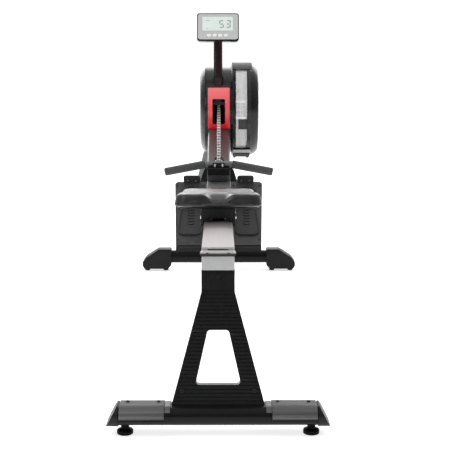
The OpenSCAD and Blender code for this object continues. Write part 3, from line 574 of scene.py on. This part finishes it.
def make_rear_stand():
    refined("rear_leg", "casting", 1.0, 2)
    refined("rear_beam", "gloss_black", 0.6)
    pads_lo, pads_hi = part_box("rear_pads")
    band_end = 130 * MM
    band_black, cover_black = 0.62, 0.2

    def under_cover(c):
        """The lower part of the covers and of the thin bands is black like the beam."""
        share = band_black if abs(c.x) < band_end else cover_black
        return c.z < pads_lo.z + share * (pads_hi.z - pads_lo.z)

    paint(refined("rear_pads", "ribbed", 0.4, 1), "gloss_black", under_cover)
    make_rear_caps()
    for side in ("left", "right"):
        node = "rear_foot_" + side
        lo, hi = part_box(node)
        centre = Vector(((lo.x + hi.x) / 2, (lo.y + hi.y) / 2, lo.z))
        r = (hi.x - lo.x) / 2
        profile = [(r - 2 * MM, 0), (r, 1.5 * MM), (r, 9 * MM), (r - 1.5 * MM, 11 * MM), (r * 0.6, 14 * MM),
                   (r * 0.52, 14.5 * MM), (r * 0.5, 16 * MM), (r * 0.5, 26 * MM), (r * 0.44, 27 * MM),
                   (6 * MM, 27 * MM), (6 * MM, hi.z - 1 * MM)]
        lathe(node + "_fine", profile, Place(centre, X_AXIS, Y_AXIS, Z_AXIS), node, "inside", 48,
              stands_for=(node,))


def make_front_stand():
    refined("front_legs", "casting", 1.5, 2)
    refined("leg_brace", "plate", 1.0)
    refined("front_stabilizer", "gloss_black", 0.6)
    refined("front_caps", "moulding", 3.0, 3)
    for side in ("left", "right"):
        node = "wheel_" + side
        lo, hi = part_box(node)
        centre = (lo + hi) / 2
        r, half = (hi.z - lo.z) / 2, (hi.x - lo.x) / 2
        # Radius in millimetres, and the height as a share of half the width
        profile = [(5.1, -1.0), (9, -1.0), (9, -0.82), (15, -0.55), (19, -0.6), (20, -0.92), (26, -1.0),
                   (r / MM, -0.72), (r / MM, 0.72), (26, 1.0), (20, 0.92), (19, 0.6), (15, 0.55), (9, 0.82),
                   (9, 1.0), (5.1, 1.0)]
        profile = [(q * MM, h * half) for q, h in profile + profile[:1]]
        lathe(node + "_fine", profile, x_place(centre), node, "rubber", 48, close=False,
              stands_for=(node,))


# ---------------------------------------------------------------- drive side

def make_housing():
    refined("neck_cover", "neck", 1.6, 3)
    refined("handle_rest", "moulding", 1.2, 2)
    refined("mast", "inside", 0.8)
    refined("housing_shell", "housing", 1.6, 3)
    refined("housing_side_cover", "housing_dark", 1.0)
    refined("chain_port", "red", 1.0, 3)
    refined("console_post", "post", 0.8, 2)
    refined("fan_inner_ring", "housing_dark", 1.2, 2)
    cover_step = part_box("fan_side_cover")[0].x + 16.5 * MM
    paint(refined("fan_side_cover", "housing_dark", 1.0, 2), "housing", lambda c: c.x < cover_step)
    refined("guard_clamp", "footplate", 0.8, 2)
    tray_radius = (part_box("fan_inner_ring")[1].z - AXLE.z) + 4.3 * MM
    bar_front = AXLE.y - 100 * MM

    def on_bar(c):
        """The light bar stands out past the tray, on its rear side."""
        return c.y < bar_front and sqrt((c.y - AXLE.y) ** 2 + (c.z - AXLE.z) ** 2) > tray_radius

    paint(refined("guard_tray", "inside", 1.0, 2), "light_bar", on_bar)
    refined("damper", "moulding", 0.8)
    refined("fan_rotor", "rotor", 0.3, 1)
    # The axle and bearings are painted black: painted shade that keeps the chain's opening dark.
    refined("axle", "inside", 0.6)
    refined("bearings", "inside", 0.6)
    refined("sprocket", "inside", 0.4, 1)
    refined("return_spool", "inside", 0.6)


def make_guard():
    """Perforated sheet round the fan: a grid of cells, each with a round hole."""
    lo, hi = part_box("fan_guard")
    radius = (hi.z - lo.z) / 2 - 0.4 * MM
    wide = hi.x - lo.x
    pitch = 5.6 * MM
    columns = round(tau * radius / pitch)
    rows = round(wide / pitch)
    sides = 8
    hole = 0.36
    off_grid = 1e-4
    verts, faces, index = [], [], {}

    def point(u, v):
        """Index of the vertex at column u and row v. Points on the cells' borders are shared."""
        key = None
        if all(abs(k * sides - round(k * sides)) < 1e-6 for k in (u, v)):
            key = (round(u * sides) % (columns * sides), round(v * sides))
            if key in index:
                return index[key]
            index[key] = len(verts)
        t = tau * u / columns
        verts.append(Vector((lo.x + v / rows * wide, AXLE.y + radius * sin(t), AXLE.z + radius * cos(t))))
        return len(verts) - 1

    border = [(0.5, 0), (0.5, 0.5), (0, 0.5), (-0.5, 0.5), (-0.5, 0), (-0.5, -0.5), (0, -0.5), (0.5, -0.5)]
    for col in range(columns):
        for row in range(rows):
            u, v = col + 0.5, row + 0.5
            rim = [point(u + p, v + q) for p, q in border]
            if row in (0, rows - 1):
                faces.append(tuple(rim))
                continue
            ring = []
            for i in range(sides):
                t = tau * i / sides
                ring.append(point(u + hole * cos(t) + off_grid, v + hole * sin(t) + off_grid))
            for i in range(sides):
                j = (i + 1) % sides
                faces.append((rim[i], rim[j], ring[j], ring[i]))
    obj = from_faces("fan_guard_mesh", verts, faces, "fan_guard", "mesh", stands_for=("fan_guard",))
    mod = obj.modifiers.new("Thickness", "SOLIDIFY")
    mod.thickness = 0.9 * MM
    mod.offset = 0
    return obj


def chain_start():
    """Middle of the chain's end at the handle."""
    points = [v.co for v in NODES["chain"].data.vertices]
    rear = min(p.y for p in points)
    near = [p for p in points if p.y < rear + 12 * MM]
    begin = sum(near, Vector()) / len(near)
    begin.x = 0
    return begin


def bridge(bm, one, two):
    """A closed piece between two rings of vertices."""
    n = len(one)
    for i in range(n):
        j = (i + 1) % n
        bm.faces.new((one[i], one[j], two[j], two[i]))
    bm.faces.new(two)
    bm.faces.new(list(reversed(one)))


# Chain, in metres: the links' plates, and the roller and pin between them
CHAIN_PITCH = 25.4 * MM
CHAIN_STEPS = 10
PLATE_ROUND, PLATE_WAIST, PLATE_THICK = 5.2 * MM, 4.0 * MM, 1.4 * MM
INNER_PLATE, OUTER_PLATE = 4.0 * MM, 5.6 * MM
ROLLER, PIN = (3.9 * MM, 3.9 * MM), (2.0 * MM, 8.0 * MM)


def link_plate(bm, p, q, x):
    """One waisted side plate from pin p to pin q; x is its nearer face."""
    d = (q - p).normalized()
    up = X_AXIS.cross(d)
    half_turn = CHAIN_STEPS // 2
    rings = []
    for at_x in (x, x + (PLATE_THICK if x > 0 else -PLATE_THICK)):
        aside = X_AXIS * at_x
        ring = []
        for start, pin in ((pi / 2, p), (-pi / 2, q)):
            for i in range(half_turn + 1):
                t = start + pi * i / half_turn
                ring.append(bm.verts.new(pin + (d * cos(t) + up * sin(t)) * PLATE_ROUND + aside))
        mid = (p + q) / 2
        ring.insert(half_turn + 1, bm.verts.new(mid - up * PLATE_WAIST + aside))
        ring.append(bm.verts.new(mid + up * PLATE_WAIST + aside))
        rings.append(ring)
    bridge(bm, *rings)


def make_chain():
    """The links from the handle over the sprocket and down to the spool, built in place and attached to no body."""
    begin = chain_start()
    lo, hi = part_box("sprocket")
    wheel = (hi.z - lo.z) / 2 + 1.2 * MM
    centre = Vector((0, AXLE.y, AXLE.z))
    to = centre - begin
    reach = sqrt(to.y ** 2 + to.z ** 2)
    slope = atan2(to.z, to.y) + asin(wheel / reach)
    straight = sqrt(reach ** 2 - wheel ** 2)
    wrap = slope + pi / 2
    drop = centre.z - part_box("return_spool")[1].z + 20 * MM

    def where(s):
        """Point at length s from the handle."""
        if s < straight:
            return begin + Vector((0, cos(slope), sin(slope))) * s
        if s < straight + wheel * wrap:
            t = slope + pi / 2 - (s - straight) / wheel
            return centre + Vector((0, cos(t), sin(t))) * wheel
        return centre + Vector((0, wheel, -(s - straight - wheel * wrap)))

    turns = [tau * i / CHAIN_STEPS for i in range(CHAIN_STEPS)]
    bm = bmesh.new()
    for k in range(int((straight + wheel * wrap + drop) / CHAIN_PITCH)):
        p, q = where(k * CHAIN_PITCH), where(k * CHAIN_PITCH + CHAIN_PITCH)
        d = (q - p).normalized()
        up = X_AXIS.cross(d)
        for side in (-1, 1):
            link_plate(bm, p, q, side * (OUTER_PLATE if k % 2 else INNER_PLATE))
        for r, half in (ROLLER, PIN):
            bridge(bm, *[[bm.verts.new(p + (d * cos(t) + up * sin(t)) * r + X_AXIS * x) for t in turns]
                         for x in (-half, half)])
    obj = from_bm("chain_links", bm, "chain", "chain_steel", stands_for=("chain",), rides=False)
    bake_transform(obj)


# ---------------------------------------------------------------- footrests

def make_footrests():
    """Whatever lies below the plates, their ribs and the upright faces, is black."""
    underside = -12.5 * MM
    for side in ("left", "right"):
        plate = refined("foot_base_" + side, "footplate", 1.0, 2)
        paint(plate, "moulding", lambda c: (c - PLATE.o).dot(PLATE.c) < underside)
        refined("heel_cup_" + side, "heel_cup", 0.8, 2)
    refined("toe_tabs", "footplate", 1.5, 2)


def make_straps():
    """Webbing arch over each plate, with a cam buckle."""
    wide, thick, crown, gap = 38 * MM, 2.2 * MM, 0.5 * MM, 0.3 * MM
    half, tall = 52 * MM, 54 * MM
    steps, rows = 40, 6
    back = PLATE.box("foot_straps")[1].y - 2 * MM - wide
    for sign, side in ((-1, "left"), (1, "right")):
        middle = sign * 104 * MM
        bm = bmesh.new()

        def layer(depth):
            """Rows of vertices over the arch, at a depth below its outer face."""
            return [[bm.verts.new(PLATE.at(
                middle - (half - depth) * cos(pi * i / steps), back + wide * j / rows,
                (tall - depth) * sin(pi * i / steps) + gap + crown * sin(pi * j / rows)))
                for j in range(rows + 1)] for i in range(steps + 1)]

        outer, inner = layer(0), layer(thick)
        for i in range(steps):
            for j in range(rows):
                bm.faces.new((outer[i][j], outer[i][j + 1], outer[i + 1][j + 1], outer[i + 1][j]))
                bm.faces.new((inner[i][j], inner[i + 1][j], inner[i + 1][j + 1], inner[i][j + 1]))
            for j in (0, rows):
                bm.faces.new((outer[i][j], outer[i + 1][j], inner[i + 1][j], inner[i][j]))
        for i in (0, steps):
            for j in range(rows):
                bm.faces.new((outer[i][j], inner[i][j], inner[i][j + 1], outer[i][j + 1]))
        names = ("foot_straps",) if sign < 0 else ()
        from_bm("foot_strap_" + side, bm, "foot_straps", "webbing", stands_for=names)
        buckle = slab("strap_buckle_" + side, rounded(28 * MM, 42 * MM, 4 * MM), 51.5 * MM, 58 * MM,
                      Place(PLATE.at(middle, back + wide / 2, 0), PLATE.a, PLATE.b, PLATE.c), "foot_straps",
                      "handle_dark", 1.2 * MM)
        bevel(buckle, 0.8)


# ---------------------------------------------------------------- seat

def smoothstep(low, high, x):
    t = max(0.0, min(1.0, (x - low) / (high - low)))
    return t * t * (3 - 2 * t)


def hull_outline(arcs, steps):
    """Convex outline of quarter-turn corner arcs: centre x, centre y, radius and start angle."""
    pts = []
    for cx, cy, r, start in arcs:
        for i in range(steps + 1):
            t = start + pi / 2 * i / steps
            pts.append(Vector((cx + r * cos(t), cy + r * sin(t))))
    return pts


def resample(pts, count):
    """The closed outline again, with evenly spaced points."""
    ends = pts[1:] + pts[:1]
    lengths = [(q - p).length for p, q in zip(pts, ends)]
    total, out, k, gone = sum(lengths), [], 0, 0.0
    for i in range(count):
        want = total * i / count
        while gone + lengths[k] < want:
            gone += lengths[k]
            k += 1
        out.append(pts[k].lerp(ends[k], (want - gone) / lengths[k]))
    return out


def cushion_mesh():
    """Moulded seat: rolled rim, two shallow hollows and a relief dip at the rear."""
    low, high = RAIL.box("seat_cushion")
    wide, deep, tall = (high.x - low.x) / 2 / MM, (high.y - low.y) / 2 / MM, (high.z - low.z) / MM
    mid = (low.y + high.y) / 2
    r = 30
    arcs = [(wide - 46, deep - 40, r, 0), (-wide + 46, deep - 40, r, pi / 2),
            (-wide + r, -deep + r, r, pi), (wide - r, -deep + r, r, 3 * pi / 2)]
    outline = resample(hull_outline(arcs, 10), 168)
    round_off, slope = 11.0, 6.0
    roll = round_off + slope
    turns = [pi / 2 * i / 8 for i in range(9)]
    rim = [(slope + round_off * (1 - sin(t)), tall - round_off * (1 - cos(t))) for t in turns]
    rim += [(slope * 0.7, tall * 0.5), (slope * 0.35, tall * 0.25), (0.3, 2.5), (0.0, 0.8), (1.0, 0.0)]
    inner = [(roll + (wide - roll) * k, tall) for k in (0.9, 0.75, 0.6, 0.45, 0.3, 0.2, 0.1)]

    def shape(x, y, z):
        """Adds the hollows, the dip and the rear lip to a point of the plain form."""
        top = smoothstep(tall * 0.3, tall, z)
        rear = 1 - smoothstep(-deep, -deep + 80, y)
        dip = 20 * rear ** 1.4 * (1 - smoothstep(12, 47, abs(x)))
        hollow = 4 * exp(-((abs(x) - 60) / 38) ** 2 - ((y + 8) / 55) ** 2)
        z -= top * (dip + hollow)
        lip = (1 - smoothstep(4, 9, z)) * (1 - smoothstep(38, 48, abs(x)))
        if y < -deep + 40:
            y -= 3.0 * lip * (1 - smoothstep(-deep, -deep + 40, y))
            groove = exp(-((z - 10) / 2.4) ** 2) * (1 - smoothstep(38, 50, abs(x)))
            y += 3.0 * groove * (1 - smoothstep(-deep, -deep + 20, y))
        return x, y, z

    bm = bmesh.new()
    rings = []
    for inset, z in inner + rim:
        ring = []
        for p in outline:
            reach = p.length
            q = p * max(0.02, 1 - inset / min(reach, wide))
            sx, sy, sz = shape(q.x, q.y, z)
            ring.append(bm.verts.new(RAIL.at(sx * MM, sy * MM + mid, sz * MM + low.z)))
        rings.append(ring)
    n = len(outline)
    for one, two in zip(rings, rings[1:]):
        for i in range(n):
            j = (i + 1) % n
            bm.faces.new((one[i], one[j], two[j], two[i]))
    bm.faces.new(rings[0])
    bm.faces.new(list(reversed(rings[-1])))
    return bm


def soften_cushion():
    """The seat's form, remeshed and blown out a little under cloth pressure. No point moves further than
    the cap, so the cushion keeps to its place."""
    cap, frames = 2.5 * MM, 20
    obj = from_bm("seat_cushion_soft", cushion_mesh(), "seat_cushion", "vinyl", 180,
                  stands_for=("seat_cushion",))
    remesh = obj.modifiers.new("Voxels", "REMESH")
    remesh.mode = "VOXEL"
    remesh.voxel_size = 3 * MM
    apply_modifiers(obj)
    relax(obj.data, 2)
    start = [v.co.copy() for v in obj.data.vertices]
    cloth = obj.modifiers.new("Cloth", "CLOTH")
    cloth.settings.use_pressure = True
    cloth.settings.uniform_pressure_force = 4
    cloth.settings.effector_weights.gravity = 0
    cloth.point_cache.frame_start, cloth.point_cache.frame_end = 1, frames
    for step in range(1, frames + 1):
        bpy.context.scene.frame_set(step)
    apply_modifiers(obj)
    bpy.context.scene.frame_set(1)
    for v, s in zip(obj.data.vertices, start):
        move = v.co - s
        if move.length > cap:
            v.co = s + move.normalized() * cap
    obj.data.shade_smooth()
    sub = obj.modifiers.new("Smooth", "SUBSURF")
    sub.levels = sub.render_levels = 1


def relax(mesh, rounds):
    """Evens out the steps that the voxels leave."""
    bm = bmesh.new()
    bm.from_mesh(mesh)
    for _ in range(rounds):
        bmesh.ops.smooth_vert(bm, verts=bm.verts, factor=0.5, use_axis_x=True, use_axis_y=True,
                              use_axis_z=True)
    bm.to_mesh(mesh)
    bm.free()


def apply_modifiers(obj):
    """The object's evaluated mesh takes the place of its mesh."""
    deps = bpy.context.evaluated_depsgraph_get()
    mesh = bpy.data.meshes.new_from_object(obj.evaluated_get(deps))
    obj.modifiers.clear()
    old = obj.data
    obj.data = mesh
    bpy.data.meshes.remove(old)


def make_seat():
    soften_cushion()
    refined("seat_pan", "moulding", 1.5, 2)
    refined("carriage", "moulding", 1.2, 2)
    refined("roller_axles", "steel", 0.6)
    refined("guide_pads", "rubber", 0.6)
    refined("rollers_rear", "roller", 0.8)
    refined("rollers_front", "roller", 0.8)


# ---------------------------------------------------------------- handle

def make_handle():
    refined("handle_bar", "handle_grey", 0.4, 1)
    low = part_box("handle_yoke")[0]
    nuts, bolt = low.y + 2.9 * MM, low.z + 16.1 * MM
    paint(refined("handle_yoke", "handle_dark", 0.6, 2), "steel", lambda c: c.y < nuts or c.z > bolt)
    refined("grips", "grip", 2.0, 3)


# ---------------------------------------------------------------- console

# Bars of a digit: a, g and d run across from the top down, f and e stand left, b and c stand right
SEGMENTS = {"5": "afgcd", "3": "abgcd"}
DIGIT_WIDE, DIGIT_TALL, BAR_THICK = 22 * MM, 35 * MM, 5.2 * MM


def seven_segment(digit, x, y):
    """Bars of one digit: centre, width and height of each."""
    w, h, t = DIGIT_WIDE, DIGIT_TALL, BAR_THICK
    aside, high = w / 2 - t / 2, h / 2 - t / 2
    across, upright = (w - 2 * t, t), (t, h / 2 - t)
    bars = {"a": (x, y + high, *across), "g": (x, y, *across), "d": (x, y - high, *across),
            "b": (x + aside, y + h / 4, *upright), "c": (x + aside, y - h / 4, *upright),
            "e": (x - aside, y - h / 4, *upright), "f": (x - aside, y + h / 4, *upright)}
    return [bars[s] for s in SEGMENTS[digit]]


def glass_place():
    """Place at the middle of the display's glass."""
    high = CONSOLE.box("console_screen")[1]
    local = [v.co - CONSOLE.o for v in NODES["console_screen"].data.vertices]
    front = [p for p in local if p.dot(CONSOLE.c) > high.z - 0.1 * MM]
    x, y = [(min(p.dot(k) for p in front) + max(p.dot(k) for p in front)) / 2
            for k in (CONSOLE.a, CONSOLE.b)]
    return Place(CONSOLE.at(x, y, high.z), CONSOLE.a, CONSOLE.b, CONSOLE.c)


def make_digits():
    """Slanted bars with cut corners on the glass, and two short dashes beside them."""
    glass = glass_place()
    slant, lift, thick = 0.09, 0.15 * MM, 0.1 * MM
    bars = []
    for k, digit in enumerate("53"):
        bars += seven_segment(digit, (17 + 30 * k) * MM, -2 * MM)
    bars += [(-45 * MM, 14 * MM, 16 * MM, 2 * MM), (-45 * MM, -20 * MM, 12 * MM, 2 * MM)]
    shape = [(-1, -0.4), (-0.8, -1), (0.8, -1), (1, -0.4), (1, 0.4), (0.8, 1), (-0.8, 1), (-1, 0.4)]
    bm = bmesh.new()
    for x, y, w, h in bars:
        corners = [(x + p * w / 2, y + q * h / 2) for p, q in shape]
        ring = [bm.verts.new(glass.at(u + slant * v, v, lift)) for u, v in corners]
        base = [bm.verts.new(v.co - glass.c * thick) for v in ring]
        bridge(bm, base, ring)
    from_bm("display_digits", bm, "console_screen", "digit")


def make_console():
    refined("console_case", "console_black", 2.0, 3)
    refined("console_face", "console_silver", 0.8, 2)
    refined("console_screen", "lcd", 0.3, 1)
    make_digits()
    for k in range(1, 5):
        refined(f"button_{k}", "button", 1.2, 3)


# ---------------------------------------------------------------- stage

def area_light(name, at, target, size, power):
    data = bpy.data.lights.new(name, "AREA")
    data.shape = "RECTANGLE"
    data.size, data.size_y = size
    data.energy = power
    obj = bpy.data.objects.new(name, data)
    obj.location = at
    obj.rotation_mode = "QUATERNION"
    obj.rotation_quaternion = (Vector(target) - Vector(at)).to_track_quat("-Z", "Y")
    bpy.context.scene.collection.objects.link(obj)


def make_floor():
    """White paper that glows a little, so that it stays white next to the part."""
    mesh = bpy.data.meshes.new("floor")
    side = 30
    mesh.from_pydata([(-side, -side, 0), (side, -side, 0), (side, side, 0), (-side, side, 0)], [],
                     [(0, 1, 2, 3)])
    floor = bpy.data.objects.new("floor", mesh)
    bpy.context.scene.collection.objects.link(floor)
    paper = finish("studio floor", (0.7, 0.7, 0.7), 0.9, vary=0.01, grain=1.0, specular=0.0, bump=0.0)
    glow = paper.node_tree.nodes["Principled BSDF"].inputs
    glow["Emission Color"].default_value = (1, 1, 1, 1)
    glow["Emission Strength"].default_value = 0.68
    mesh.materials.append(paper)


def make_world():
    """White to the camera. As light it is bright above and at the front, and dim below and behind."""
    world = bpy.data.worlds.new("studio")
    bpy.context.scene.world = world
    world.use_nodes = True
    n, l = world.node_tree.nodes, world.node_tree.links
    seen, lit = n["Background"], n.new("ShaderNodeBackground")
    seen.inputs["Color"].default_value = (1, 1, 1, 1)
    seen.inputs["Strength"].default_value = 1.1
    coord = n.new("ShaderNodeTexCoord")
    aim = n.new("ShaderNodeVectorMath")
    aim.operation = "DOT_PRODUCT"
    aim.inputs[1].default_value = (0, 0.5, 0.85)
    l.new(coord.outputs["Generated"], aim.inputs[0])
    grade = n.new("ShaderNodeMapRange")
    grade.inputs["From Min"].default_value, grade.inputs["From Max"].default_value = -0.35, 0.8
    grade.inputs["To Min"].default_value, grade.inputs["To Max"].default_value = 0.05, 0.95
    l.new(aim.outputs["Value"], grade.inputs["Value"])
    l.new(grade.outputs["Result"], lit.inputs["Strength"])
    path = n.new("ShaderNodeLightPath")
    mix = n.new("ShaderNodeMixShader")
    l.new(path.outputs["Is Camera Ray"], mix.inputs["Fac"])
    l.new(lit.outputs["Background"], mix.inputs[1])
    l.new(seen.outputs["Background"], mix.inputs[2])
    l.new(mix.outputs["Shader"], n["World Output"].inputs["Surface"])


def make_stage():
    make_floor()
    make_world()
    sun = bpy.data.lights.new("overhead", "SUN")
    sun.energy = 2.3
    sun.angle = radians(70)
    sky = bpy.data.objects.new("overhead", sun)
    sky.location = (0, 0, 4)
    sky.visible_glossy = False
    bpy.context.scene.collection.objects.link(sky)
    area_light("key", (-1.6, -3.2, 2.6), (0, 0, 0.5), (1.6, 1.6), 26)
    area_light("front", (0, 4.5, 2.2), (0, 0, 0.6), (5, 2.5), 80)


def make_camera():
    data = bpy.data.cameras.new("camera")
    data.lens, data.sensor_width = 80, 36
    data.clip_start, data.clip_end = 0.05, 100
    camera = bpy.data.objects.new("camera", data)
    camera.location = (0.0044, -3.582, 0.900)
    camera.rotation_euler = (radians(80.74), 0, radians(-0.30))
    bpy.context.scene.collection.objects.link(camera)
    bpy.context.scene.camera = camera


make_camera()
make_rail()
make_bolts()
make_rear_stand()
make_front_stand()
make_housing()
make_guard()
make_chain()
make_footrests()
make_straps()
make_seat()
make_handle()
make_console()
make_stage()
bpy.context.scene.view_settings.view_transform = "Standard"
